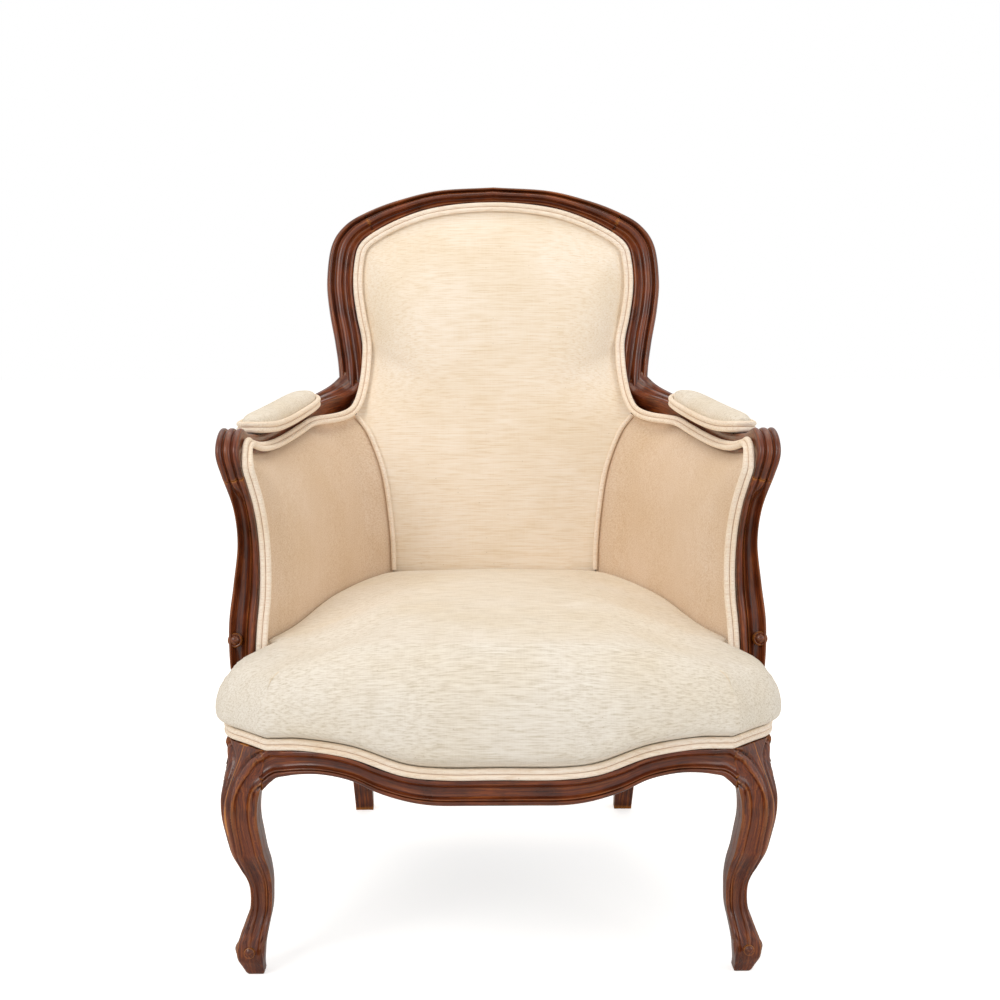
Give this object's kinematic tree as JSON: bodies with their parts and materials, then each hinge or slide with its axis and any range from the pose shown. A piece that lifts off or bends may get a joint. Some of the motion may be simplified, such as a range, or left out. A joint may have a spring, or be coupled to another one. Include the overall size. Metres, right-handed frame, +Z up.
{
  "type": "bergere armchair",
  "caption": "Armchair with a moulded wooden frame, cabriole front legs, scrolled padded arms, closed upholstered sides, an arched upholstered back and a tight sprung seat.",
  "frame": {"origin": "middle of the chair's box at floor level", "axes": "+Z up, -Y the way a sitter faces, -X the left side as seen from the front"},
  "size_m": [0.6824, 0.7366, 0.9521],
  "materials": {
    "stained_beech": "walnut stain under worn glossy shellac",
    "plain_beech": "bare, sawn",
    "cream_linen": "matte slubby plain weave",
    "cream_cord": "matte plain weave over cord",
    "horsehair": "curled hair under calico",
    "jute": "coarse woven jute",
    "spring_steel": "coppered wire",
    "black_cambric": "matte thin cloth"
  },
  "bodies": {
    "root": {"crest_rail": "stained_beech", "left_back_post": "stained_beech", "right_back_post": "stained_beech", "left_front_leg": "stained_beech", "right_front_leg": "stained_beech", "front_seat_rail": "stained_beech", "left_side_seat_rail": "stained_beech", "right_side_seat_rail": "stained_beech", "rear_seat_rail": "stained_beech", "left_arm_rest": "stained_beech", "right_arm_rest": "stained_beech", "left_arm_post": "stained_beech", "right_arm_post": "stained_beech", "lower_back_rail": "plain_beech", "left_front_corner_block": "plain_beech", "right_front_corner_block": "plain_beech", "left_rear_corner_block": "plain_beech", "right_rear_corner_block": "plain_beech", "left_inside_arm_cover": "cream_linen", "right_inside_arm_cover": "cream_linen", "inside_back_cover": "cream_linen", "seat_cover": "cream_linen", "outside_back_cover": "cream_linen", "left_outside_arm_cover": "cream_linen", "right_outside_arm_cover": "cream_linen", "left_arm_pad_cover": "cream_linen", "right_arm_pad_cover": "cream_linen", "inside_double_welt": "cream_cord", "seat_double_welt": "cream_cord", "outside_back_welt": "cream_cord", "left_seam_welt": "cream_cord", "right_seam_welt": "cream_cord", "left_outside_arm_welt": "cream_cord", "right_outside_arm_welt": "cream_cord", "left_arm_pad_welt": "cream_cord", "right_arm_pad_welt": "cream_cord", "left_inside_arm_stuffing": "horsehair", "right_inside_arm_stuffing": "horsehair", "back_stuffing": "horsehair", "seat_stuffing": "horsehair", "left_arm_pad_stuffing": "horsehair", "right_arm_pad_stuffing": "horsehair", "back_webbing": "jute", "seat_burlap": "jute", "seat_webbing": "jute", "seat_spring_1": "spring_steel", "seat_spring_2": "spring_steel", "seat_spring_3": "spring_steel", "seat_spring_4": "spring_steel", "seat_spring_5": "spring_steel", "seat_spring_6": "spring_steel", "seat_spring_7": "spring_steel", "seat_spring_8": "spring_steel", "seat_spring_9": "spring_steel", "dust_cover": "black_cambric"}
  },
  "joints": []
}
